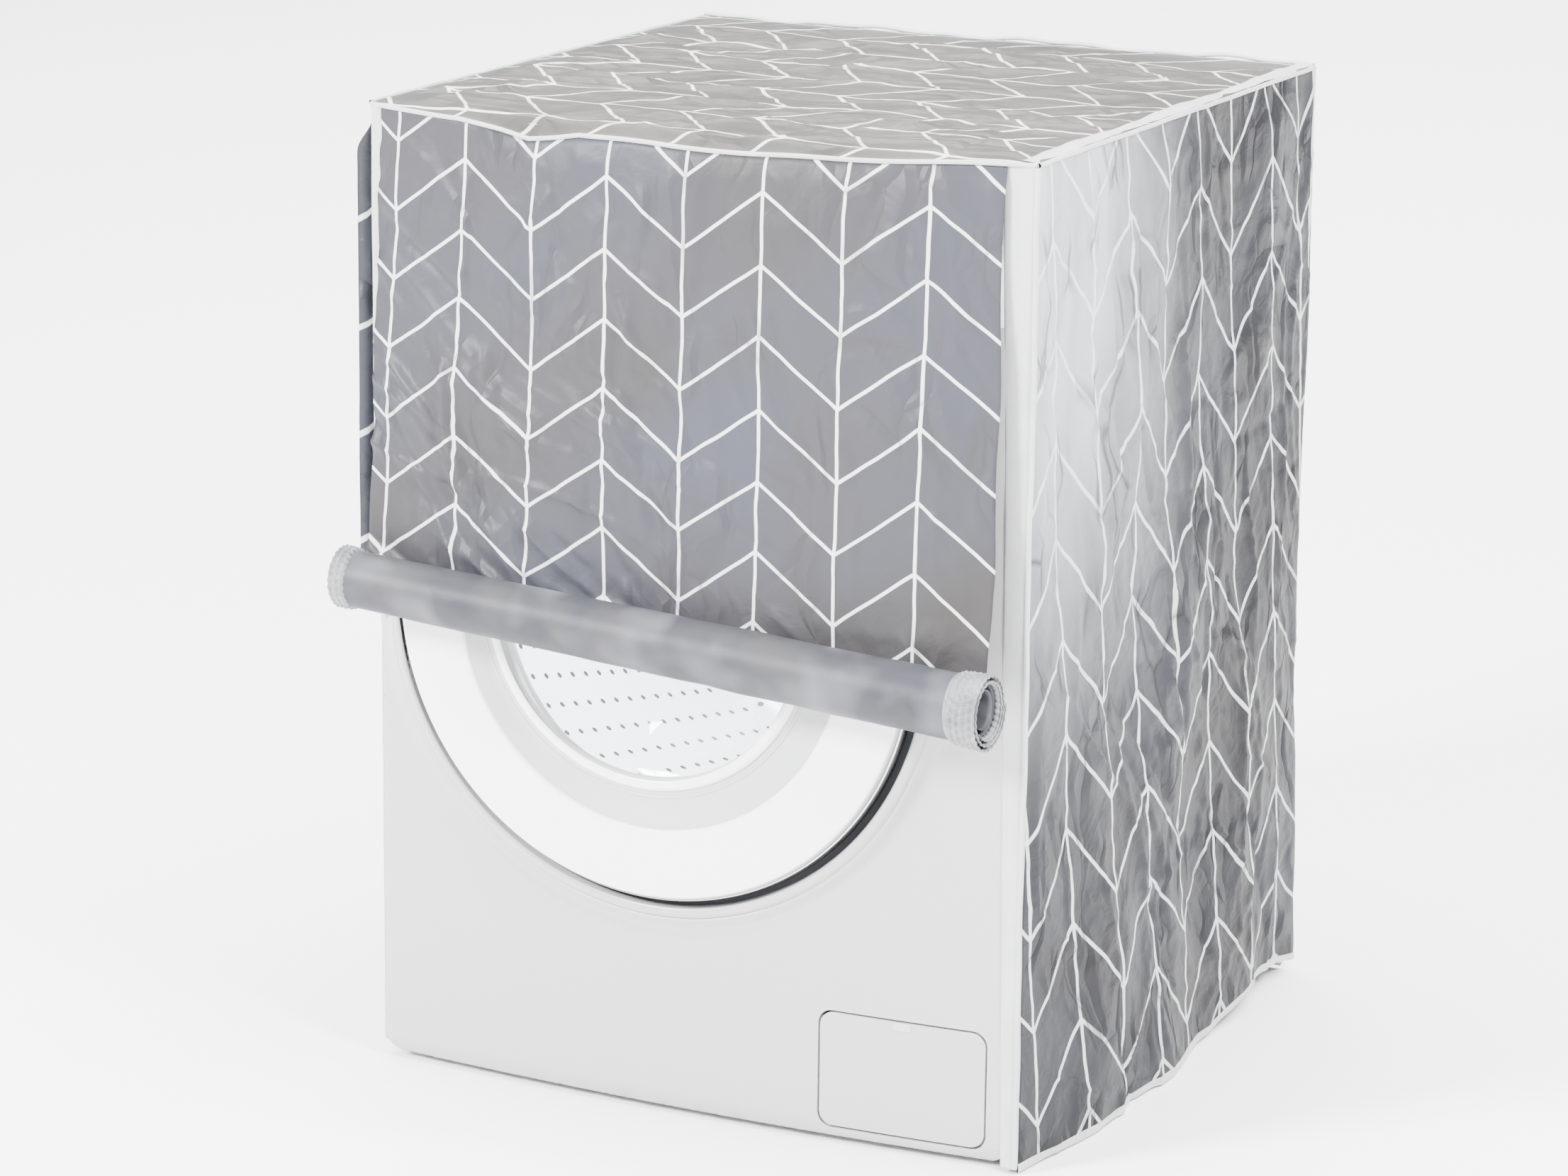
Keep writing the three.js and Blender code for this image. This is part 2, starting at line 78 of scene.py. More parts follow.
def lattice(a, b, cell, seed):
    # value noise from -1 to 1 on a square lattice of this cell
    i, j = np.floor(a / cell).astype(int), np.floor(b / cell).astype(int)
    p, q = a / cell - i, b / cell - j
    p, q = p * p * (3 - 2 * p), q * q * (3 - 2 * q)
    table = np.random.default_rng(seed).uniform(-1, 1, (89, 89))

    def at(di, dj):
        return table[(i + di) % 89, (j + dj) % 89]

    return (at(0, 0) * (1 - p) + at(1, 0) * p) * (1 - q) + (at(0, 1) * (1 - p) + at(1, 1) * p) * q


def creases(a, b, seed, count, spanA, spanB, angle, spread, length, width, height):
    # sharp ridges: height * exp(-|across| / width) * exp(-(along / length)^2), each with its own place and turn
    rng = np.random.default_rng(seed)
    total = np.zeros_like(a, dtype=float)
    for _ in range(count):
        ca, cb = rng.uniform(*spanA), rng.uniform(*spanB)
        turn = math.radians(rng.normal(angle, spread))
        long = length * rng.uniform(0.5, 1.5)
        wide = width * rng.uniform(0.6, 1.6)
        along = (a - ca) * math.cos(turn) + (b - cb) * math.sin(turn)
        across = (b - cb) * math.cos(turn) - (a - ca) * math.sin(turn) + 0.0012 * rng.normal() * along ** 2
        size = rng.choice([-1, 1]) * height * rng.uniform(0.4, 1.2)
        total += size * np.exp(-np.abs(across) / wide - (along / long) ** 2)
    return total


def crumple(a, b, seed, cell, height):
    # ridged noise: height * (0.5 - |noise|), the sharp small folds of thin film
    total = np.zeros_like(a, dtype=float)
    for octave in range(3):
        size = cell / 2 ** octave
        turned = 0.6 + octave
        u = a * math.cos(turned) - b * math.sin(turned)
        v = a * math.sin(turned) + b * math.cos(turned)
        total += (0.35 - np.abs(lattice(u, v * 0.6, size, seed + octave))) * height / 1.8 ** octave
    return total


def polyMesh(name, points, faces, printUv=None, normals=None):
    mesh = bpy.data.meshes.new(name)
    mesh.from_pydata((np.asarray(points, float) * 0.001).tolist(), [], [[int(i) for i in f] for f in faces])
    mesh.polygons.foreach_set("use_smooth", np.ones(len(mesh.polygons), bool))
    if printUv is not None:
        corner = np.empty(len(mesh.loops), np.int32)
        mesh.loops.foreach_get("vertex_index", corner)
        layer = mesh.uv_layers.new(name="print")
        layer.data.foreach_set("uv", (np.asarray(printUv).reshape(-1, 2)[corner] * 0.001).astype(np.float32).ravel())
    mesh.update()
    if normals is not None:
        mesh.normals_split_custom_set_from_vertices(np.asarray(normals).tolist())
    piece = bpy.data.objects.new(name, mesh)
    bpy.context.scene.collection.objects.link(piece)
    return piece


def gridMesh(name, points, printUv=None, closeRows=False, closeColumns=False, flip=False):
    rows, columns = points.shape[:2]
    r, c = np.meshgrid(np.arange(rows if closeRows else rows - 1),
                       np.arange(columns if closeColumns else columns - 1), indexing="ij")
    r, c = r.ravel(), c.ravel()
    s, d = (r + 1) % rows, (c + 1) % columns
    quads = np.stack([r * columns + c, s * columns + c, s * columns + d, r * columns + d], 1)
    return polyMesh(name, points.reshape(-1, 3), quads[:, ::-1] if flip else quads, printUv)


def lathe(name, profile, segments=144, centre=(doorX, doorZ), shift=None):
    # profile is [radius, y]; shift moves each ring of the profile by its own (x, z)
    profile = np.array(profile, float)
    turn = np.linspace(0, 2 * math.pi, segments, endpoint=False)
    shift = np.zeros((len(profile), 2)) if shift is None else np.array(shift, float)
    x = centre[0] + profile[:, :1] * np.cos(turn) + shift[:, :1]
    z = centre[1] + profile[:, :1] * np.sin(turn) + shift[:, 1:]
    y = np.repeat(profile[:, 1:], segments, 1)
    run = np.concatenate([[0], np.cumsum(np.hypot(*np.diff(profile, axis=0).T))])
    uv = np.stack(np.broadcast_arrays(turn[None] * 100, run[:, None]), -1)
    return gridMesh(name, np.stack([x, y, z], -1), uv, closeColumns=True)


def strip(name, path, side, out, width, thick, steps=9):
    # a flattened tube along path: at each point side is the way across it and out the way off the cloth
    path, side, out = [np.asarray(a, float) * np.ones((len(path), 3)) for a in (path, side, out)]
    width, thick = [np.asarray(a, float) * np.ones(len(path)) for a in (width, thick)]
    turn = np.linspace(0, 2 * math.pi, 2 * steps, endpoint=False)
    across = np.sign(np.cos(turn)) * np.abs(np.cos(turn)) ** 0.6
    off = np.sign(np.sin(turn)) * np.abs(np.sin(turn)) ** 0.8
    points = (path[:, None] + side[:, None] * (across[None, :, None] * width[:, None, None] / 2)
              + out[:, None] * (off[None, :, None] * thick[:, None, None] / 2))
    run = np.concatenate([[0], np.cumsum(np.linalg.norm(np.diff(path, axis=0), axis=1))])
    uv = np.stack(np.broadcast_arrays(across[None] * width[:, None] / 2, run[:, None]), -1)
    return gridMesh(name, points, uv, closeColumns=True)


def thicken(piece, thick, offset=0.0):
    solid = piece.modifiers.new("thickness", "SOLIDIFY")
    solid.thickness = thick * 0.001
    solid.offset = offset
    return piece


def place(piece, material, body, replaced=()):
    piece.data.materials.clear()
    piece.data.materials.append(material)
    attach(piece, body)
    if replaced:
        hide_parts(*replaced)
    return piece


def add(tree, kind, inputs=None, **settings):
    node = tree.nodes.new("ShaderNode" + kind)
    for key, value in settings.items():
        setattr(node, key, value)
    for key, value in (inputs or {}).items():
        if isinstance(value, bpy.types.NodeSocket):
            tree.links.new(value, node.inputs[key])
        else:
            node.inputs[key].default_value = value
    return node


def newMaterial(name):
    material = bpy.data.materials.new(name)
    material.use_nodes = True
    material.node_tree.nodes.clear()
    return material, material.node_tree


def finishMaterial(tree, surface):
    output = add(tree, "OutputMaterial")
    tree.links.new(surface, output.inputs["Surface"])


# Materials
def plainMaterial(name, look):
    # look: shade, rough, metal, and the size in metres and depth of its fine grain
    material, tree = newMaterial(name)
    place3 = add(tree, "TexCoord").outputs["Object"]
    grain = add(tree, "TexNoise", {"Vector": place3, "Scale": 1 / look.get("grain", 0.004), "Detail": 3.0})
    cloud = add(tree, "TexNoise", {"Vector": place3, "Scale": 1 / look.get("cloud", 0.18), "Detail": 2.0})
    tone = add(tree, "MapRange", {"Value": cloud.outputs["Fac"], "From Min": 0.3, "From Max": 0.7,
                                  "To Min": 1 - look.get("vary", 0.02), "To Max": 1 + look.get("vary", 0.02)})
    colour = add(tree, "MixRGB", {"Fac": 1.0, "Color1": toLinear(look["shade"])}, blend_type="MULTIPLY")
    tree.links.new(tone.outputs[0], colour.inputs["Color2"])
    rough = add(tree, "MapRange", {"Value": grain.outputs["Fac"], "From Min": 0.3, "From Max": 0.7,
                                   "To Min": look["rough"] * 0.92, "To Max": look["rough"] * 1.08})
    bump = add(tree, "Bump", {"Height": grain.outputs["Fac"], "Strength": look.get("bump", 0.03), "Distance": 0.0005})
    surface = add(tree, "BsdfPrincipled", {"Base Color": colour.outputs[0], "Roughness": rough.outputs[0],
                                           "Metallic": look.get("metal", 0.0), "Normal": bump.outputs[0],
                                           "Coat Weight": look.get("coat", 0.0)})
    finishMaterial(tree, surface.outputs[0])
    return material


looks = {
    "white_enamel": {"shade": "#ABABAC", "rough": 0.36, "vary": 0.006, "coat": 0.15},
    "white_plastic": {"shade": "#FBFBFB", "rough": 0.3, "vary": 0.003},
    "grey_plastic": {"shade": "#BCBDBF", "rough": 0.38, "vary": 0.01},
    "dark_plastic": {"shade": "#35373B", "rough": 0.45, "vary": 0.03},
    "stainless_steel": {"shade": "#CDD0D3", "rough": 0.28, "metal": 1.0, "vary": 0.03},
    "cast_metal": {"shade": "#7A7C7F", "rough": 0.55, "metal": 0.8, "vary": 0.08, "bump": 0.3},
    "grey_rubber": {"shade": "#94979B", "rough": 0.7, "vary": 0.03},
    "black_rubber": {"shade": "#1F2022", "rough": 0.75, "vary": 0.05},
    "concrete": {"shade": "#9B9994", "rough": 0.9, "vary": 0.12, "grain": 0.006, "bump": 0.5},
    "white_binding": {"shade": "#B9BABC", "rough": 0.42, "vary": 0.06, "cloud": 0.03, "grain": 0.0012, "bump": 0.4},
    "roll_hem": {"shade": "#76777A", "rough": 0.4, "vary": 0.3, "cloud": 0.016, "grain": 0.0025, "bump": 0.8},
}
slotMaterials = {name: plainMaterial(name, look) for name, look in looks.items()}


def filmMaterial(name, look):
    # printed PEVA film, satin, with white lines. The print's u runs across and v down, in metres:
    # lines at u0 + k pitch, and zigzags v = v0 + n period - drop * triangle(u), of the widths given
    material, tree = newMaterial(name)
    uv = add(tree, "UVMap", uv_map="print").outputs[0]
    wander = add(tree, "TexNoise", {"Vector": uv, "Scale": look.get("wanderScale", 14.0), "Detail": 2.0})
    wanderOff = add(tree, "VectorMath", {0: wander.outputs["Color"], 1: (0.5, 0.5, 0.5)}, operation="SUBTRACT")
    wanderBy = add(tree, "VectorMath", {0: wanderOff.outputs[0], "Scale": look.get("wander", 0.008)}, operation="SCALE")
    moved = add(tree, "VectorMath", {0: uv, 1: wanderBy.outputs[0]}, operation="ADD")
    axes = add(tree, "SeparateXYZ", {0: moved.outputs[0]})
    u, v = axes.outputs[0], axes.outputs[1]
    mottle = add(tree, "TexNoise", {"Vector": uv, "Scale": 1 / look.get("patch", 0.16), "Detail": 3.0, "Roughness": 0.45})
    warm = add(tree, "TexNoise", {"Vector": uv, "Scale": 1 / look.get("patchWarm", 0.25), "Detail": 2.0})
    cool = add(tree, "MapRange", {"Value": mottle.outputs["Fac"], "From Min": 0.38, "From Max": 0.66})
    tint = add(tree, "MapRange", {"Value": warm.outputs["Fac"], "From Min": 0.5, "From Max": 0.72})
    base = add(tree, "MixRGB", {"Fac": cool.outputs[0], "Color1": toLinear(look["shade"]),
                                "Color2": toLinear(look["cool"])})
    film = add(tree, "MixRGB", {"Fac": tint.outputs[0], "Color1": base.outputs[0], "Color2": toLinear(look["warm"])})
    colour = film.outputs[0]
    if "paintedHighlight" in look:
        # a painted highlight: a lighter tone painted over the upper front of the panel, in long upright streaks
        spread = add(tree, "SeparateXYZ", {0: uv})
        tall = add(tree, "Mapping", {"Vector": uv, "Scale": (13.0, 2.6, 1.0), "Rotation": (0, 0, 0.1)})
        streak = add(tree, "TexNoise", {"Vector": tall.outputs[0], "Scale": 1.0, "Detail": 4.0, "Distortion": 0.4})
        ahead = add(tree, "MapRange", {"Value": spread.outputs[0], "From Min": 0.36, "From Max": 0.0},
                    interpolation_type="SMOOTHSTEP")
        aloft = add(tree, "MapRange", {"Value": spread.outputs[1], "From Min": 0.58, "From Max": 0.06},
                    interpolation_type="SMOOTHSTEP")
        both = add(tree, "Math", {0: ahead.outputs[0], 1: aloft.outputs[0]}, operation="MULTIPLY")
        streakShare = add(tree, "MapRange", {"Value": streak.outputs["Fac"], "From Min": 0.36, "From Max": 0.64,
                                             "To Min": 0.6, "To Max": 1.1})
        highlightShare = add(tree, "Math", {0: both.outputs[0], 1: streakShare.outputs[0]}, operation="MULTIPLY",
                   use_clamp=True)
        highlightPainted = add(tree, "MixRGB", {"Fac": highlightShare.outputs[0], "Color1": colour, "Color2": toLinear(look["paintedHighlight"])})
        colour = highlightPainted.outputs[0]
    if "pitch" in look:
        pitch, drop, period = [look[k] * 0.001 for k in ("pitch", "drop", "period")]
        line = look["line"] * 0.001
        start = add(tree, "Math", {0: u, 1: look["u0"] * 0.001}, operation="SUBTRACT").outputs[0]
        fold = add(tree, "Math", {0: start, 1: pitch}, operation="PINGPONG")
        rise = add(tree, "Math", {0: fold.outputs[0], 1: drop / pitch, 2: v}, operation="MULTIPLY_ADD")
        fromTop = add(tree, "Math", {0: rise.outputs[0], 1: look["v0"] * 0.001}, operation="SUBTRACT")
        nearest = add(tree, "Math", {0: fromTop.outputs[0], 1: period / 2}, operation="PINGPONG")
        slant = add(tree, "Math", {0: nearest.outputs[0], 1: math.cos(math.atan2(drop, pitch))}, operation="MULTIPLY")
        upright = add(tree, "Math", {0: start, 1: pitch / 2}, operation="PINGPONG")
        least = add(tree, "Math", {0: slant.outputs[0], 1: upright.outputs[0]}, operation="MINIMUM")
        mask = add(tree, "MapRange", {"Value": least.outputs[0], "From Min": line / 2 + 0.0004,
                                      "From Max": line / 2 - 0.0004}, interpolation_type="SMOOTHSTEP")
        inked = add(tree, "MixRGB", {"Fac": mask.outputs[0], "Color1": colour, "Color2": toLinear(look["ink"])})
        colour = inked.outputs[0]
    fine = add(tree, "TexNoise", {"Vector": uv, "Scale": 1 / look.get("grain", 0.02), "Detail": 4.0, "Distortion": 0.6})
    wrinkle = add(tree, "TexNoise", {"Vector": uv, "Scale": 1 / 0.05, "Detail": 3.0, "Distortion": 1.2})
    ridge = add(tree, "Math", {0: wrinkle.outputs["Fac"], 1: 0.5}, operation="SUBTRACT")
    sharp = add(tree, "Math", {0: ridge.outputs[0]}, operation="ABSOLUTE")
    height = add(tree, "Math", {0: sharp.outputs[0], 1: look.get("ridge", -2.0), 2: fine.outputs["Fac"]},
                 operation="MULTIPLY_ADD")
    bump = add(tree, "Bump", {"Height": height.outputs[0], "Strength": look.get("bump", 0.5), "Distance": 0.0012})
    if "creaseDepthAndShade" in look:
        # pressed-in creases: the edges of warped cells 40 mm by 110 mm, kept only in patches, with painted shade (a
        # darker tone) along the fold
        warp = add(tree, "TexNoise", {"Vector": uv, "Scale": 9.0, "Detail": 2.0})
        warpOff = add(tree, "VectorMath", {0: warp.outputs["Color"], 1: (0.5, 0.5, 0.5)}, operation="SUBTRACT")
        warpBy = add(tree, "VectorMath", {0: warpOff.outputs[0], "Scale": 0.10}, operation="SCALE")
        warped = add(tree, "VectorMath", {0: uv, 1: warpBy.outputs[0]}, operation="ADD")
        slanted = add(tree, "Mapping", {"Vector": warped.outputs[0], "Rotation": (0, 0, 0.35),
                                        "Scale": (25.0, 9.0, 1.0)})
        cells = add(tree, "TexVoronoi", {"Vector": slanted.outputs[0], "Scale": 1.0}, feature="DISTANCE_TO_EDGE")
        patches = add(tree, "TexNoise", {"Vector": uv, "Scale": 11.0, "Detail": 1.0})
        kept = add(tree, "MapRange", {"Value": patches.outputs["Fac"], "From Min": 0.44, "From Max": 0.60},
                   interpolation_type="SMOOTHSTEP")
        foldShare = add(tree, "MapRange", {"Value": cells.outputs["Distance"], "From Min": 0.055, "From Max": 0.0})
        deep = add(tree, "Math", {0: foldShare.outputs[0], 1: kept.outputs[0]}, operation="MULTIPLY")
        shadeBy = add(tree, "Math", {0: deep.outputs[0], 1: look["creaseDepthAndShade"]}, operation="MULTIPLY")
        creaseShaded = add(tree, "MixRGB", {"Fac": shadeBy.outputs[0], "Color1": colour, "Color2": toLinear(look["warm"])})
        colour = creaseShaded.outputs[0]
        facet = add(tree, "Math", {0: cells.outputs["Distance"], 1: 0.22}, operation="MINIMUM")
        facetKept = add(tree, "Math", {0: facet.outputs[0], 1: kept.outputs[0]}, operation="MULTIPLY")
        bump = add(tree, "Bump", {"Height": facetKept.outputs[0], "Strength": 0.9, "Distance": 0.03 * look["creaseDepthAndShade"],
                                  "Normal": bump.outputs[0]})
    surface = add(tree, "BsdfPrincipled", {"Base Color": colour, "Roughness": look.get("rough", 0.4),
                                           "Metallic": look.get("metal", 0.0), "Normal": bump.outputs[0],
                                           "Specular IOR Level": look.get("gloss", 0.2)})
    finishMaterial(tree, surface.outputs[0])
    return material


frontFilm = filmMaterial("printedFilmFront", {
    "shade": "#403F43", "cool": "#3F4149", "warm": "#3D3B3A", "ink": "#D6D7D9", "ridge": -2.6,
    "rough": 0.45, "creaseDepthAndShade": 0.5, "gloss": 0.16,
    "u0": 30, "pitch": 71.4, "drop": 51, "period": 58, "v0": 88, "line": 2.8, "wander": 0.006})
# the right side's film: the front's print at a darker shade, which is painted shade, with a painted highlight over its
# upper front
sideFilmPaintedLight = filmMaterial("printedFilmSidePaintedLight", {
    "shade": "#29292B", "cool": "#303136", "warm": "#232224", "ink": "#BFC1C3", "paintedHighlight": "#B6BCBF",
    "ridge": -3.0, "creaseDepthAndShade": 0.7, "gloss": 0.1,
    "u0": 102, "pitch": 77, "drop": 77, "period": 84, "v0": 60, "line": 3.7, "wander": 0.011, "bump": 0.8})
leftFilm = filmMaterial("printedFilmLeft", {
    "shade": "#343438", "cool": "#373A44", "warm": "#2D2C30", "ink": "#C8CACB", "ridge": -3.0, "creaseDepthAndShade": 0.7, "gloss": 0.14,
    "u0": 102, "pitch": 77, "drop": 77, "period": 84, "v0": 60, "line": 3.7, "wander": 0.011, "bump": 0.8})
topFilm = filmMaterial("printedFilmTop", {
    "shade": "#454340", "cool": "#4C4A47", "warm": "#3A3835", "ink": "#CDCDCA", "ridge": -3.0, "creaseDepthAndShade": 0.5, "gloss": 0.2,
    "u0": 0, "pitch": 75, "drop": 62, "period": 74, "v0": 20, "line": 3.2, "wander": 0.014})
rollFilm = filmMaterial("filmReverse", {
    "shade": "#424245", "cool": "#33353C", "warm": "#68686E", "rough": 0.5, "bump": 0.3, "gloss": 0.22,
    "patch": 0.06, "patchWarm": 0.09})


# The machine's front: an arc in plan with rounded upright edges, and a flat seat round the door with a soft slope
def frontY(x):
    return arcCentre - np.sqrt(arcRadius ** 2 - np.minimum(np.abs(x), 304.5) ** 2)


seatTurn = [(0, -268.9), (240.5, -268.9), (241.5, -261), (249.5, -261), (250.6, -270), (252.6, -271.4), (257, -271.2),
            (259.4, -269.6), (260.4, -267.6), (262, -268.2), (267, -265), (273, -260), (281, -252), (292, -238), (340, -180)]


def panelY(x, z):
    # the further forward of bow and seat, joined by a smooth minimum of 6 mm, with a soft valley at the seat's foot
    sideRound, footRound = 7.5, 12.0
    edge = np.clip(np.abs(x) - 297, 0, sideRound - 0.05)
    bow = frontY(x) + (sideRound - np.sqrt(sideRound ** 2 - edge ** 2))
    foot = np.clip(16 - z, 0, footRound - 0.05)
    bow = bow + (footRound - np.sqrt(footRound ** 2 - foot ** 2))
    radius = np.hypot(x - doorX, z - doorZ)
    seat = np.interp(radius, *zip(*seatTurn))
    blendBy = np.clip(0.5 + 0.5 * (seat - bow) / 6, 0, 1)
    joined = seat * (1 - blendBy) + bow * blendBy - 6 * blendBy * (1 - blendBy)
    joined = joined + 1.8 * np.exp(-((radius - 271) / 5.5) ** 2)
    # a shallow dent beside the hinge, where the open door's edge swings in
    dent = 8 * np.exp(-((x - doorX + 260) / 16) ** 2 - ((z - doorZ) / 55) ** 2)
    return np.where(radius < 261, seat, joined) + np.where(radius > 250, dent, 0)


def roundedLoop(x0, x1, z0, z1, r, steps=10):
    corners = [(x1 - r, z0 + r, -90), (x1 - r, z1 - r, 0), (x0 + r, z1 - r, 90), (x0 + r, z0 + r, 180)]
    turn = np.radians(np.linspace(0, 90, steps))
    return [(cx + r * math.cos(t + math.radians(a)), cz + r * math.sin(t + math.radians(a)))
            for cx, cz, a in corners for t in turn]


def densify(loop, step=8.0):
    found = []
    for p, q in zip(loop, loop[1:] + loop[:1]):
        n = max(1, round(math.dist(p, q) / step))
        found += [(p[0] + (q[0] - p[0]) * i / n, p[1] + (q[1] - p[1]) * i / n) for i in range(n)]
    return found


def insideLoop(loop, x, z):
    inside = np.zeros(len(x), bool)
    for (xa, za), (xb, zb) in zip(loop, loop[1:] + loop[:1]):
        if za != zb:
            inside ^= ((za > z) != (zb > z)) & (x < (xb - xa) * (z - za) / (zb - za) + xa)
    return inside


def panelMesh(name, surface, outline, holes, inner, skirt):
    # a sheet over outline less holes, triangulated, with its rims turned back by skirt
    points, edges = [], []
    for loop in [outline] + holes:
        first = len(points)
        points += loop
        edges += [(first + i, first + (i + 1) % len(loop)) for i in range(len(loop))]
    points += inner
    made = geometry.delaunay_2d_cdt([Vector(p) for p in points], edges, [], 0, 1e-5)
    flat = np.array([tuple(p) for p in made[0]])
    faces = np.array([f for f in made[2] if len(f) == 3])
    middle = flat[faces].mean(1)
    keep = insideLoop(outline, middle[:, 0], middle[:, 1])
    for hole in holes:
        keep &= ~insideLoop(hole, middle[:, 0], middle[:, 1])
    faces = faces[keep]
    a, b, c = flat[faces[:, 0]], flat[faces[:, 1]], flat[faces[:, 2]]
    turnedBack = ((b - a)[:, 0] * (c - a)[:, 1] - (b - a)[:, 1] * (c - a)[:, 0]) < 0
    faces[turnedBack] = faces[turnedBack][:, ::-1]
    x, z = flat[:, 0], flat[:, 1]
    normals = np.stack([surface(x + 0.5, z) - surface(x - 0.5, z), -np.ones(len(x)),
                        surface(x, z + 0.5) - surface(x, z - 0.5)], 1)
    normals /= np.linalg.norm(normals, axis=1)[:, None]
    places = np.stack([x, surface(x, z), z], 1)
    allPoints, allNormals, allFaces = [places], [normals], [faces.tolist()]
    count = len(places)
    first = 0
    for loop in [outline] + holes:
        n = len(loop)
        loopXz = np.array(loop)
        y = surface(loopXz[:, 0], loopXz[:, 1])
        ring = np.stack([loopXz[:, 0], y, loopXz[:, 1]], 1)
        deep = ring + [0, skirt, 0]
        ahead = np.roll(loopXz, -1, 0) - np.roll(loopXz, 1, 0)
        out = np.stack([ahead[:, 1], np.zeros(n), -ahead[:, 0]], 1)
        out /= np.linalg.norm(out, axis=1)[:, None]
        if first:
            out = -out
        allPoints += [ring, deep]
        allNormals += [out, out]
        i = np.arange(n)
        j = (i + 1) % n
        quads = np.stack([count + i, count + j, count + n + j, count + n + i], 1)
        allFaces.append((quads[:, ::-1] if not first else quads).tolist())
        count += 2 * n
        first += n
    faces = [f for group in allFaces for f in group]
    return polyMesh(name, np.concatenate(allPoints), faces, normals=np.concatenate(allNormals))


def gridInside(x0, x1, z0, z1, step):
    xs = np.linspace(x0, x1, round((x1 - x0) / step) + 1)
    zs = np.linspace(z0, z1, round((z1 - z0) / step) + 1)
    return [(float(x), float(z)) for x in xs for z in zs]


def circleLoop(radius, steps=160, centre=(doorX, doorZ)):
    turn = np.linspace(0, 2 * math.pi, steps, endpoint=False)
    return [(centre[0] + radius * math.cos(t), centre[1] + radius * math.sin(t)) for t in turn]


pumpOpening = densify(roundedLoop(129, 281, 15, 119, 13))
pumpShape = densify(roundedLoop(130.8, 279.2, 16.8, 117.2, 12))
latchSlot = densify([(170, 424), (188, 424), (188, 452), (170, 452)])
panelOutline = densify(roundedLoop(-304.4, 304.4, 4.2, 714, 28)[:10]
                       + [(304.4, 714), (-304.4, 714)] + roundedLoop(-304.4, 304.4, 4.2, 714, 28)[30:])
inner = [p for p in gridInside(-290, 290, 10, 708, 12) if abs(math.hypot(p[0] - doorX, p[1] - doorZ) - 265) > 28]
seatRings = (240.5, 241.5, 249.5, 250.6, 251.6, 252.6, 254.6, 257, 258.4, 259.4, 260.4, 261.2, 262, 264, 266, 268.5,
             271, 273.5, 277, 281, 286, 292)
for radius in seatRings:
    inner += [p for p in circleLoop(radius, 280) if abs(p[0]) < 302 and 7 < p[1] < 712]
for x in (296, 298, 300, 301.6, 302.8, 303.7):
    inner += [(side * x, float(z)) for z in np.arange(30, 712, 8) for side in (-1, 1)]
inner += [(float(x), float(z)) for z in (5.5, 7.5) for x in np.arange(-270, 271, 9)]
place(panelMesh("machineFront", panelY, panelOutline, [circleLoop(174), pumpOpening, latchSlot],
                inner, 12), slotMaterials["white_enamel"], "root",
      ("front_panel", "door_surround"))
place(panelMesh("pumpFlap", lambda x, z: frontY(x) + 0.2, pumpShape, [], gridInside(136, 274, 22, 112, 10), 6),
      slotMaterials["white_enamel"], "pump_flap", ("pump_flap",))
notchMesh = panelMesh("pumpFlapLatch", lambda x, z: frontY(x) - 0.5,
                      densify(roundedLoop(197, 213, 110, 116.5, 1.5, 4), 3), [], [(205.0, 113.0)], 2)
place(notchMesh, slotMaterials["grey_plastic"], "pump_flap")
print("machine front made")

# Door: flat white ring, its side wall with a painted highlight line over a black band of painted shadow, an offset
# conical bezel and a glass bowl
place(lathe("doorRing", [(179, -276), (179.2, -280), (180, -282.6), (181.6, -283.4), (184, doorFront),
                         (212, doorFront), (236.6, doorFront), (238, -283.2), (238.8, -282.4)], 200),
      slotMaterials["white_plastic"], "door", ("door_ring",))


def bandedMaterial(name, bands):
    # bands across the side wall: (distance from its front edge in metres, shade)
    material, tree = newMaterial(name)
    uv = add(tree, "UVMap", uv_map="print").outputs[0]
    across = add(tree, "SeparateXYZ", {0: uv}).outputs[1]
    share = add(tree, "MapRange", {"Value": across, "From Min": 0.0, "From Max": bands[-1][0]})
    ramp = add(tree, "ValToRGB", {0: share.outputs[0]})
    stops = ramp.color_ramp.elements
    while len(stops) < len(bands):
        stops.new(0.5)
    for stop, (at, shade) in zip(stops, bands):
        stop.position = at / bands[-1][0]
        stop.color = toLinear(shade)
    surface = add(tree, "BsdfPrincipled", {"Base Color": ramp.outputs[0], "Roughness": 0.22, "Metallic": 0.0,
                                           "Coat Weight": 0.5})
    finishMaterial(tree, surface.outputs[0])
    return material


# side wall with painted light: painted shade from light to dark grey, a painted white highlight line, then a black band
# of painted shadow
sideWallPaintedLight = bandedMaterial("doorSideWallPaintedLight", [(0.0, "#C9CACB"), (0.0036, "#85868A"), (0.0050, "#4A4C50"), (0.0054, "#FFFFFF"),
                                           (0.0070, "#FFFFFF"), (0.0074, "#0C0C0D"), (0.0145, "#0C0C0D")])
place(lathe("doorSide", [(238.8, -282.4), (240.2, -280.4), (242, -277.4), (243.8, -274.2), (245, -270.6),
                         (244.6, -269.8), (240, -269.6), (180, -269.6)], 200),
      sideWallPaintedLight, "door")
bezelTurn = [(179.6, -280.9), (176, -279.8), (168, -276.4), (160, -273.4), (154, -272.6), (151.4, -274.2), (149.6, -275.2),
             (147, -275.3), (145, -274.4), (143.6, -271.6), (143, -268)]
bezelShift = [(-7 * w, 5 * w) for w in (0, 0.1, 0.35, 0.75, 1, 1, 1, 1, 1, 1, 1)]
place(lathe("doorBezel", bezelTurn, 180, shift=bezelShift), slotMaterials["grey_plastic"], "door",
      ("door_bezel",))
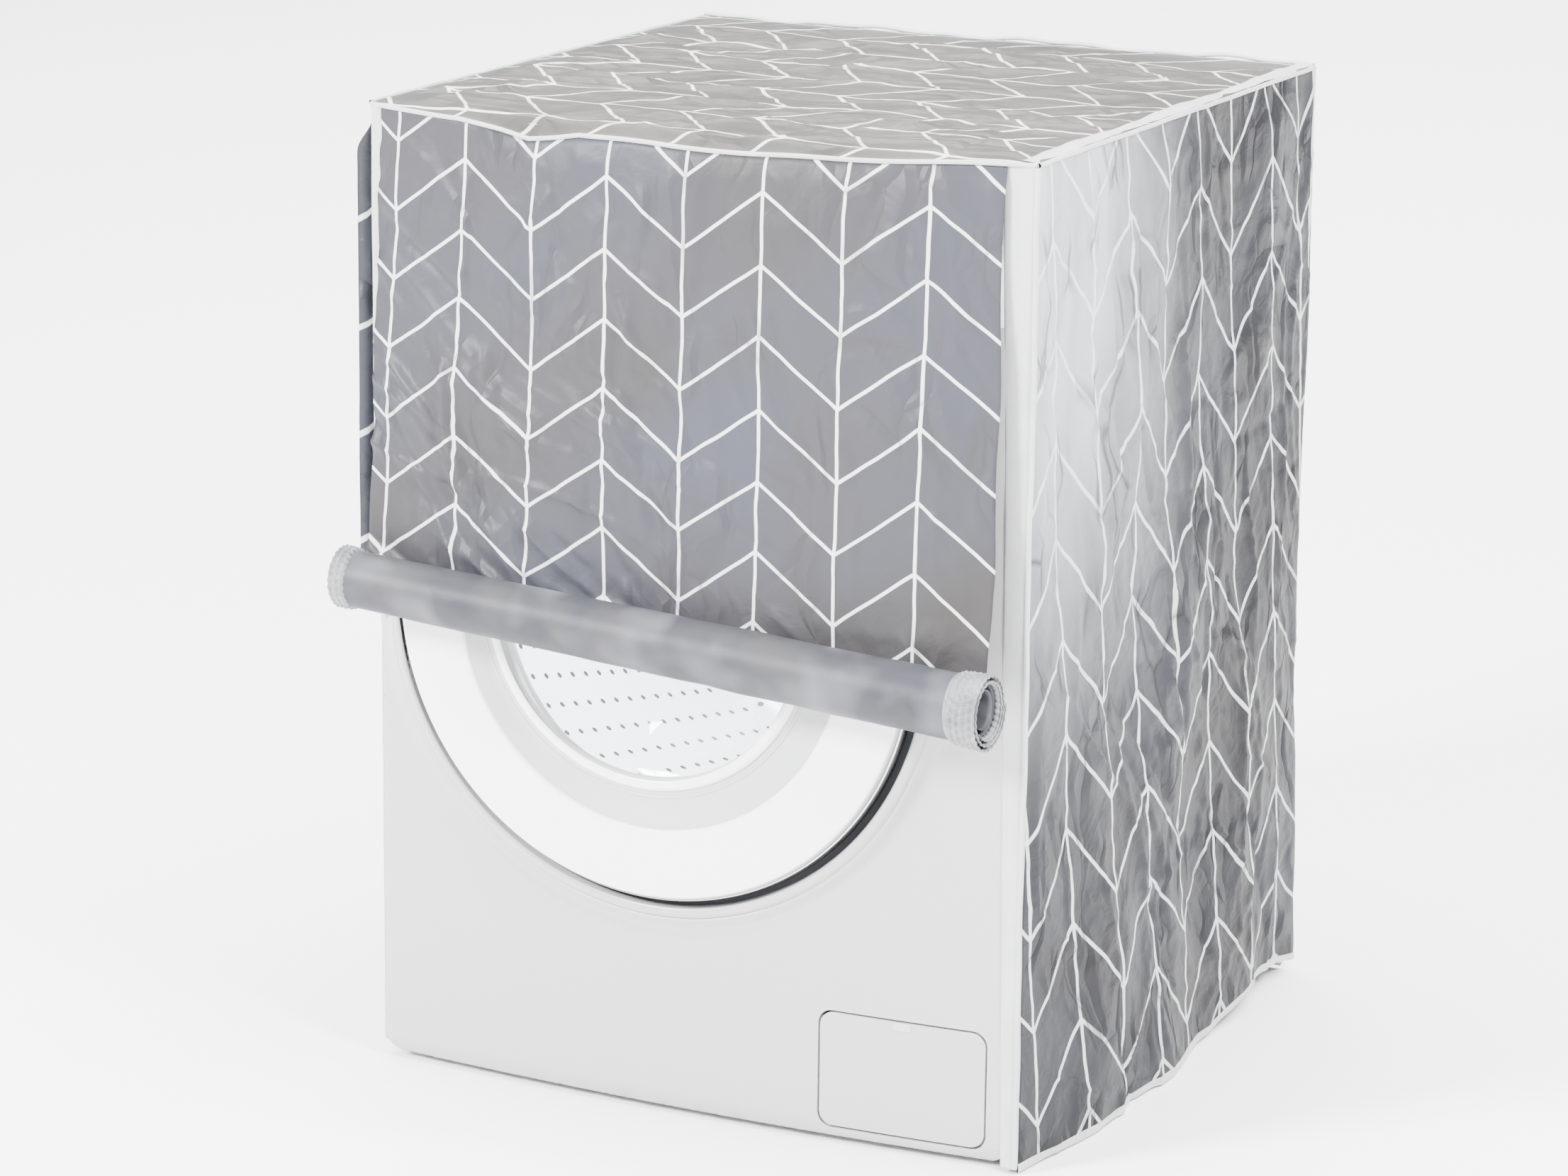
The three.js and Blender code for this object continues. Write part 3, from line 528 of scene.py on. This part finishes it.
place(lathe("doorHighlightRing", [(153.6, -273.4), (152.4, -275.4), (149.4, -276.6), (146, -276.6), (144.4, -275.4)], 180,
            shift=[(-7, 5)] * 5), slotMaterials["white_plastic"], "door")
place(lathe("doorWindowLine", [(160.2, -273.7), (159, -274.3), (157.8, -273.4)], 180, shift=[(-7, 5)] * 3),
      slotMaterials["grey_plastic"], "door")

# Clear bowl: a fresnel mix of see-through and gloss
glassMaterial, tree = newMaterial("doorGlass")
sheen = add(tree, "Fresnel", {"IOR": 1.45})
gloss = add(tree, "BsdfGlossy", {"Color": (1, 1, 1, 1), "Roughness": 0.03})
clear = add(tree, "BsdfTransparent", {"Color": toLinear("#F6F9FA")})
cut = add(tree, "Math", {0: sheen.outputs[0], 1: 0.9}, operation="MULTIPLY")
glassMix = add(tree, "MixShader", {0: cut.outputs[0]})
tree.links.new(clear.outputs[0], glassMix.inputs[1])
tree.links.new(gloss.outputs[0], glassMix.inputs[2])
finishMaterial(tree, glassMix.outputs[0])
bowl = [(0.01, -187.5), (24, -188), (50, -190.5), (72, -195.5), (88, -203), (98, -213), (107, -228), (115, -243), (124, -258),
        (133, -269), (143.5, -271)]
place(lathe("doorBowl", bowl, 120), glassMaterial, "door", ("door_glass",))

# Dark seat behind the door, seen as a thin shadow line round it
place(lathe("doorSeatCollar", [(250.5, -269), (250, -264), (241, -263.4), (232, -260), (216, -255), (216, -250)], 200),
      slotMaterials["dark_plastic"], "root", ("door_seat_collar",))
place(lathe("doorGasket", [(193, -251.6), (188, -254.4), (180, -254.8), (172, -251), (166, -244), (163, -236), (165, -229),
                           (172, -226.4), (186, -226)], 150), slotMaterials["grey_rubber"], "root",
      ("door_gasket",))

# Drum: rolled lip, wall and back in one turned shell; helical rows of holes 20 mm apart, rows 29 mm apart
drumMaterial, tree = newMaterial("perforatedSteel")
uv = add(tree, "UVMap", uv_map="print").outputs[0]
axes = add(tree, "SeparateXYZ", {0: uv})
pushed = add(tree, "Math", {0: axes.outputs[1], 1: -0.2242, 2: axes.outputs[0]}, operation="MULTIPLY_ADD")
rowAt = add(tree, "Math", {0: pushed.outputs[0], 1: 0.02925 / 2}, operation="PINGPONG")
holeAt = add(tree, "Math", {0: axes.outputs[1], 1: 0.010}, operation="PINGPONG")
squareRow = add(tree, "Math", {0: rowAt.outputs[0], 1: rowAt.outputs[0]}, operation="MULTIPLY")
squareHole = add(tree, "Math", {0: holeAt.outputs[0], 1: holeAt.outputs[0], 2: squareRow.outputs[0]}, operation="MULTIPLY_ADD")
reach = add(tree, "Math", {0: squareHole.outputs[0]}, operation="SQRT")
hole = add(tree, "MapRange", {"Value": reach.outputs[0], "From Min": 0.0031, "From Max": 0.0025},
           interpolation_type="SMOOTHSTEP")
steelShade = add(tree, "MixRGB", {"Fac": hole.outputs[0], "Color1": toLinear("#E6E7E9"), "Color2": toLinear("#0C0C0D")})
drumSurface = add(tree, "BsdfPrincipled", {"Base Color": steelShade.outputs[0], "Roughness": 0.42, "Metallic": 0.25})
finishMaterial(tree, drumSurface.outputs[0])
drumTurn = [(190, -206), (188, -211), (196, -212), (228, -211), (238, -205), (242, -195), (242, 150), (240, 172), (230, 184),
            (205, 189), (150, 190), (60, 190), (0.01, 190)]
fineTurn = []
for (r0, y0), (r1, y1) in zip(drumTurn, drumTurn[1:]):
    n = max(1, round(math.hypot(r1 - r0, y1 - y0) / 12))
    fineTurn += [(r0 + (r1 - r0) * i / n, y0 + (y1 - y0) * i / n) for i in range(n)]
fineTurn.append(drumTurn[-1])
drumShell = lathe("drumShell", fineTurn, 156)
uvLayer = drumShell.data.uv_layers["print"]
spots = np.empty(len(uvLayer.data) * 2, np.float32)
uvLayer.data.foreach_get("uv", spots)
spots = spots.reshape(-1, 2)
spots[:, 0] *= 2.42  # arc length at the wall, from 100 mm a radian
uvLayer.data.foreach_set("uv", spots.ravel())
place(drumShell, drumMaterial, "drum", ("drum",))
print("door and drum made")

# Cover: right and left sides, hanging from the top's edges, with tall folds and an uneven hem
def coverSide(name, sign, seed, look):
    a, b = np.meshgrid(np.linspace(0, 1, 152), np.linspace(0, 1, 213), indexing="ij")
    startY = front + look["recede"] * smoothStep(0.46, 0.56, b)
    depth = startY + (back - 0.5 - startY) * a
    drop = np.interp(a, look["hemAt"], look["hemLift"])
    z = top - 0.8 - b * (top - 0.8 - 3 - drop)
    s, t = (depth - front), (top - z)
    middle = np.sin(math.pi * np.clip(a, 0, 1)) ** 0.5
    low = smoothStep(0.02, 0.25, b)
    waves = 4.5 * np.sin((s + 0.12 * t) / 27 + 2.0 * lattice(s, t, 190, seed))
    folds = waves * low * (0.6 + 0.4 * lattice(s, t, 140, seed + 9))
    folds += 6.5 * lattice(s + 0.1 * t, t * 0.35, 85, seed + 1)
    folds += creases(s, t, seed + 2, 70, (0, 604), (0, 846), 80, 16, 120, 6, 5.0)
    folds += creases(s, t, seed + 3, 46, (0, 604), (0, 846), 38, 30, 60, 5, 3.6)
    folds += crumple(s, t, seed + 4, 60, 3.2)
    hang = look["belly"] * np.interp(a, look["hemAt"], look["flare"]) * smoothStep(0.35, 1.0, b) ** 1.6
    hold = smoothStep(0, 0.05, b) * np.minimum(smoothStep(0, 0.04, a) * 0.75 + 0.25, 1)
    lip = look["flap"] * np.exp(-a / 0.010) * smoothStep(0.015, 0.05, b) * (1 - smoothStep(0.47, 0.5, b))
    out = half - 1 + (folds * (0.35 + 0.65 * middle) + 3) * hold + hang + lip
    # clear of the cabinet's wall at 304.5, and never more than 26 mm proud
    out = np.clip(out, 305.4, half + 26)
    y = depth + smoothStep(0.93, 1.0, a) * (2 + 4 * np.sin(b * 7.5)) * smoothStep(0, 0.06, b)
    points = np.stack([sign * out, y, z], -1)
    uv = np.stack([s - 0.10 * t, t], -1)
    piece = gridMesh(name, points, uv, flip=sign < 0)
    thicken(piece, 0.4)
    place(piece, sideFilmPaintedLight if sign > 0 else leftFilm, "cover", (f"cover_{look['node']}_side",))
    return piece, points


rightSide, rightPoints = coverSide("coverRightSide", 1, 11, {
    "node": "right", "recede": 0, "flap": 0, "belly": 1.0, "hemAt": [0, 0.1, 0.3, 0.47, 0.66, 0.74, 0.84, 0.95, 1.0],
    "flare": [3, 12, 18, 20, 15, 10, 7, 6, 7], "hemLift": [0, 0, 0, 0, 2, 12, 17, 14, 8]})
leftSide, leftPoints = coverSide("coverLeftSide", -1, 31, {
    "node": "left", "recede": 38, "flap": 15, "belly": 0.5, "hemAt": [0, 0.3, 0.6, 1.0],
    "flare": [0, 8, 12, 4], "hemLift": [3, 0, 4, 8]})

# Back panel
a, b = np.meshgrid(np.linspace(-1, 1, 130), np.linspace(0, 1, 150), indexing="ij")
x, z = a * (half - 1), top - 0.8 - b * (top - 6)
swell = 1.5 + (4 * lattice(x, z * 0.4, 110, 51) + creases(x, z, 52, 50, (-300, 300), (0, 846), 85, 20, 110, 7, 2.2)
               + crumple(x, z, 53, 70, 1.5)) * (1 - np.abs(a) ** 6) * smoothStep(0, 0.06, b)
y = back - 0.6 + np.clip(swell, -1.0, 9)
coverBack = gridMesh("coverBack", np.stack([x, y, z], -1), np.stack([x + half, top - z], -1))
thicken(coverBack, 0.4)
place(coverBack, leftFilm, "cover", ("cover_back",))

# Top panel: its front edge bows forward and sags between the lid and the flap's seam
sagAt = [-307.5, -260, -215, -170, -144, -120, -95, -50, 0, 70, 140, 220, 270, 307.5]
sagBy = [1.5, 2.5, 4.5, 10, 14.5, 11, 6.5, 7, 8.5, 8.5, 7, 3.5, 1.5, 0.5]


def sag(x):
    return np.interp(x, sagAt, sagBy) + 0.6 * np.sin(x / 23)


def frontEdgeY(x):
    return front - topBow * (1 - (x / half) ** 2)


a, b = np.meshgrid(np.linspace(-1, 1, 170), np.linspace(0, 1, 170) ** 1.25, indexing="ij")
x = a * (half - 0.5)
edgeY = frontEdgeY(x)
y = edgeY + b * (back - 1 - edgeY)
inset = y - edgeY
calm = np.minimum(smoothStep(0, 30, half - np.abs(x)), smoothStep(0, 40, back - y))
z = top + 0.3 - sag(x) * (1 - smoothStep(0, 17, inset))
z = z + np.maximum(2.2 * lattice(x, y, 120, 61) + creases(x, y, 62, 70, (-300, 300), (-270, 350), 20, 40, 80, 5, 3.0)
                   + crumple(x, y, 63, 55, 2.4) + 1.4, -1.2) * calm * smoothStep(0, 30, inset)
coverTop = gridMesh("coverTop", np.stack([x, y, z], -1), np.stack([y - front, x + half], -1))
thicken(coverTop, 0.4)
place(coverTop, topFilm, "cover", ("cover_top",))
print("cover made")

# Front flap: from the top's bowed edge to the back of its own roll
def rollCentreZ(x):
    return rollZ - rollTilt * x


def rollSize(x):
    return 26.6 + 3.0 * (x + 285) / 570


a, b = np.meshgrid(np.linspace(0, 1, 176), np.linspace(0, 1, 140), indexing="ij")
left = -299.5 + 6.5 * smoothStep(0, 0.8, b) + 1.2 * np.sin(b * 21)
right = 281.5 + 8.0 * smoothStep(0, 0.9, b) + 1.0 * np.sin(b * 17 + 1)
x = left + (right - left) * a
zTop = top - 1.5 - sag(x)
zEnd = rollCentreZ(x) - 2
z = zTop + (zEnd - zTop) * b
fall = (zTop - z) / (zTop - zEnd)
power = 0.35 + 1.05 * (np.abs(x) / 290) ** 4
yTop, yEnd = frontEdgeY(x) + 0.4, rollY + rollSize(x) - 0.5
y = yTop + (yEnd - yTop) * np.maximum(fall, 1e-6) ** power
s, t = x + half, top - z
leftness = smoothStep(420, 60, s) * 0.8 + 0.2
soft = 2.6 * lattice(s, t, 85, 71) * leftness + 1.2 * lattice(s, t, 45, 72) * leftness
folded = creases(s, t, 73, 60, (10, 330), (40, 420), 55, 22, 70, 5, 4.2)
folded += creases(s, t, 74, 26, (0, 260), (230, 430), 35, 15, 60, 5, 4.5)
folded += creases(s, t, 75, 34, (200, 600), (30, 420), 62, 30, 60, 5, 2.0)
folded += creases(s, t, 76, 14, (0, 600), (4, 40), 80, 30, 30, 6, 2.0)
folded += crumple(s, t, 77, 60, 2.4) * (0.35 + 0.9 * leftness)
ease = smoothStep(0, 0.05, b) * smoothStep(1.0, 0.95, b)
y = y - np.maximum(soft + folded + 1.6, -1.6) * ease
nearDoor = smoothStep(262, 240, np.hypot(x - doorX, z - doorZ))
y = np.where(nearDoor > 0, np.minimum(y, -285.2 * nearDoor + y * (1 - nearDoor)), y)
drift = 15 * (s / 600) * (t / 400)
flapPoints = np.stack([x, y, z], -1)
frontFlap = gridMesh("frontFlap", flapPoints, np.stack([s, t - drift], -1))
thicken(frontFlap, 0.4)
place(frontFlap, frontFilm, "flap", ("front_flap",))


# The rolled length: r = R(x) - pitch * turns, from the back, under, up the front and inwards
def spiral(name, xs, size, turns, pitch, ribs, steps, endScale=1.0):
    a, turn = np.meshgrid(xs, np.linspace(0, turns * 2 * math.pi, steps), indexing="ij")
    r = size(a) - pitch * turn / (2 * math.pi)
    outer = np.exp(-turn / 9)
    r = r + (0.7 * lattice(a, turn * 28, 46, 81) + 0.35 * lattice(a, turn * 28, 17, 82)) * outer + ribs(a, turn)
    y = rollY + r * np.cos(turn)
    z = rollCentreZ(a) - r * np.sin(turn)
    uv = np.stack([a + half, turn * 25], -1)
    return gridMesh(name, np.stack([a, y, z], -1), uv)


def noRibs(a, turn):
    return 0.0 * a


def hemRibs(a, turn):
    # gathers across the hem band, every 7 degrees or so, and a pinch at its inner edge
    inner = smoothStep(276, 283, np.abs(a))
    return 0.6 * np.sin(turn * 26 + 3 * np.sin(a / 5)) * inner + 0.7 * np.sin(np.abs(a) * 1.1) * inner


flapRoll = spiral("flapRoll", np.linspace(-296, 300, 130), rollSize, 3.3, 4.4, noRibs, 330)
thicken(flapRoll, 0.5)
place(flapRoll, rollFilm, "flap_roll", ("flap_roll",))
tapeMaterial = slotMaterials["white_binding"]
rightHem = spiral("rightRollHem", np.linspace(276, 305.5, 40),
                  lambda x: 31.4 + 0.04 * (x - 276) - 2.2 * np.exp(-(x - 276) / 2.2), 2.35,
                  4.6, hemRibs, 420)
leftHem = spiral("leftRollHem", np.linspace(-298.5, -284, 30), lambda x: 28.0 - 1.7 * np.exp((x + 284) / 2.2), 2.2, 4.2,
                 hemRibs, 400)
for hem, node in ((rightHem, "roll_right_hem"), (leftHem, "roll_left_hem")):
    thicken(hem, 1.1)
    place(hem, slotMaterials["roll_hem"], "flap_roll", (node,))
print("flap made")

# White binding tape and piping along the seams
def piping(name, path, side, out, width, thick, body="cover"):
    return place(strip(name, path, side, out, width, thick), tapeMaterial, body)


xs = np.linspace(-half, half, 200)
piping("topFrontPiping", np.stack([xs, frontEdgeY(xs) - 1.0, top - sag(xs) - 0.4], 1),
       (0, -0.5, 0.86), (0, -0.86, -0.5), 3.8, 3.2)
ys = np.linspace(front, back, 180)
wave = 1.2 * np.sin(ys / 31) + 0.7 * np.sin(ys / 9)
piping("topRightBinding", np.stack([half - 8 + 0 * ys, ys, top + 1.2 + 0.5 * wave], 1),
       (1, 0, -0.12), (0.12, 0, 1), 13 + 2 * np.sin(ys / 40), 1.2)
piping("topRightPiping", np.stack([half + 1.2 + 0.6 * wave, ys, top - 0.8 + 0.4 * wave], 1),
       (0.7, 0, 0.7), (0.7, 0, -0.7), 3.6, 3.6)
piping("topLeftPiping", np.stack([-half - 0.2 + 0.5 * wave, ys, top + 0.2 + 0.4 * wave], 1),
       (0.7, 0, 0.7), (0.7, 0, -0.7), 3.6, 3.6)
backLift = 1.2 * np.sin(xs / 29) + 0.8 * np.sin(xs / 11)
piping("topBackPiping", np.stack([xs, back + 0.5 + 0.9 * np.sin(xs / 17), top + 1.8 + backLift], 1),
       (0, 0.7, 0.7), (0, 0.7, -0.7), 3.6, 3.6)
zs = np.linspace(top - 3, 4.5, 220)
down = (top - zs) / 845
tapeWidth = np.interp(down, [0, 0.28, 0.5, 0.75, 1], [25, 17, 15, 11, 7])
sway = 1.3 * np.sin(zs / 47) + 0.6 * np.sin(zs / 13)
piping("frontRightBinding", np.stack([half + 0.6 - tapeWidth / 2 - 3, front - 1.0 + 0.5 * sway, zs], 1),
       (1, 0, 0), (0, -1, 0), tapeWidth + sway + 6, 1.6)
piping("frontRightPiping", np.stack([half + 0.4 + 0.4 * sway, front - 1.2 + 0 * zs, zs], 1),
       (1, 0, 0), (0, -1, 0), 4.4, 4.6)
zl = np.linspace(top - 3, rollZ + 24, 110)
leftWidth = np.interp(zl, [rollZ, 848], [18, 10])
piping("frontLeftBinding", np.stack([-half + 0.5 + leftWidth / 2, front - 1.4 + 0.4 * np.sin(zl / 21), zl], 1),
       (1, 0, 0), (0, -1, 0), leftWidth, 2.0)
for name, points, sign in (("rightHemPiping", rightPoints, 1), ("leftHemPiping", leftPoints, -1)):
    path = points[:, -1]
    piping(name, path + [0, 0, 1.5], (0, 0, 1), (1, 0, 0), 7 + 0.8 * np.sin(path[:, 1] / 14), 2.6)
piping("backHemPiping", np.stack([xs, 0 * xs + back + 1.2, 0 * xs + 5.5], 1), (0, 0, 1), (0, 1, 0), 6.5, 2.4)
for side, sign in (("Right", 1), ("Left", -1)):
    piping(f"back{side}Binding", np.stack([0 * zs + sign * (half - 1), back + 0.6 + 0 * zs, zs], 1),
           (0.7, 0.7 * sign, 0), (0.7, -0.7 * sign, 0), 6, 3)
print("bindings made")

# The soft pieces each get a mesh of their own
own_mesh(frontFlap)
for piece in (flapRoll, rightHem, leftHem):
    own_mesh(piece)

# Every other CAD node takes its slot's material
slotOf = {s["node"]: s["material_slot"] for s in frame["record"]["subparts"]}
for name, node in frame["nodes"].items():
    slotName = slotOf.get(name, "white_plastic")
    material = {"door_glass": glassMaterial, "printed_film": leftFilm}.get(slotName) or slotMaterials[slotName]
    node.data.materials.clear()
    node.data.materials.append(material)

# Floor, light and camera
stageMaterial = plainMaterial("studioFloor", {"shade": "#FFFFFF", "rough": 0.9, "vary": 0.0, "bump": 0.0})
floor = polyMesh("floor", [(-40000, -20000, -0.5), (40000, -20000, -0.5), (40000, 60000, -0.5), (-40000, 60000, -0.5)],
                 [(0, 1, 2, 3)])
floor.data.materials.append(stageMaterial)

world = bpy.data.worlds.new("studio")
bpy.context.scene.world = world
world.use_nodes = True
world.node_tree.nodes["Background"].inputs["Color"].default_value = (1, 1, 1, 1)
world.node_tree.nodes["Background"].inputs["Strength"].default_value = 0.6


def areaLight(name, at, target, size, power):
    data = bpy.data.lights.new(name, "AREA")
    data.shape = "RECTANGLE"
    data.size, data.size_y = size
    data.energy = power
    light = bpy.data.objects.new(name, data)
    bpy.context.scene.collection.objects.link(light)
    light.location = at
    light.rotation_euler = (Vector(target) - Vector(at)).to_track_quat("-Z", "Y").to_euler()
    light.visible_camera = False
    return light


areaLight("keyRight", (1.45, -0.85, 1.5), (0.3, -0.15, 0.72), (0.5, 0.5), 80)
areaLight("frontSoftbox", (-2.2, -3.5, 2.8), (0, 0, 0.4), (1.0, 1.0), 850)
areaLight("overhead", (0, 4.0, 6.5), (0, 4.0, 0), (12, 12), 4400)
areaLight("drumLight", (-0.03, -0.16, 0.57), (-0.15, 0.15, 0.33), (0.16, 0.08), 8)

azimuth, elevation, roll = [math.radians(d) for d in (26.62, 14.42, 0.67)]
backward = Vector((math.sin(azimuth) * math.cos(elevation), -math.cos(azimuth) * math.cos(elevation), math.sin(elevation)))
rightward = Vector((math.cos(azimuth), math.sin(azimuth), 0))
upward = backward.cross(rightward)
rightward, upward = (math.cos(roll) * rightward + math.sin(roll) * upward,
                     -math.sin(roll) * rightward + math.cos(roll) * upward)
spot = Vector((0, 0.0495, 0.425)) - 0.0584 * rightward - 0.0277 * upward + 4.485 * backward
cameraData = bpy.data.cameras.new("camera")
cameraData.lens = 115.775
cameraData.sensor_width = 36
cameraData.clip_end = 200
camera = bpy.data.objects.new("camera", cameraData)
bpy.context.scene.collection.objects.link(camera)
camera.matrix_world = Matrix([[rightward[i], upward[i], backward[i], spot[i]] for i in range(3)] + [[0, 0, 0, 1]])
bpy.context.scene.camera = camera
print("light and camera set")
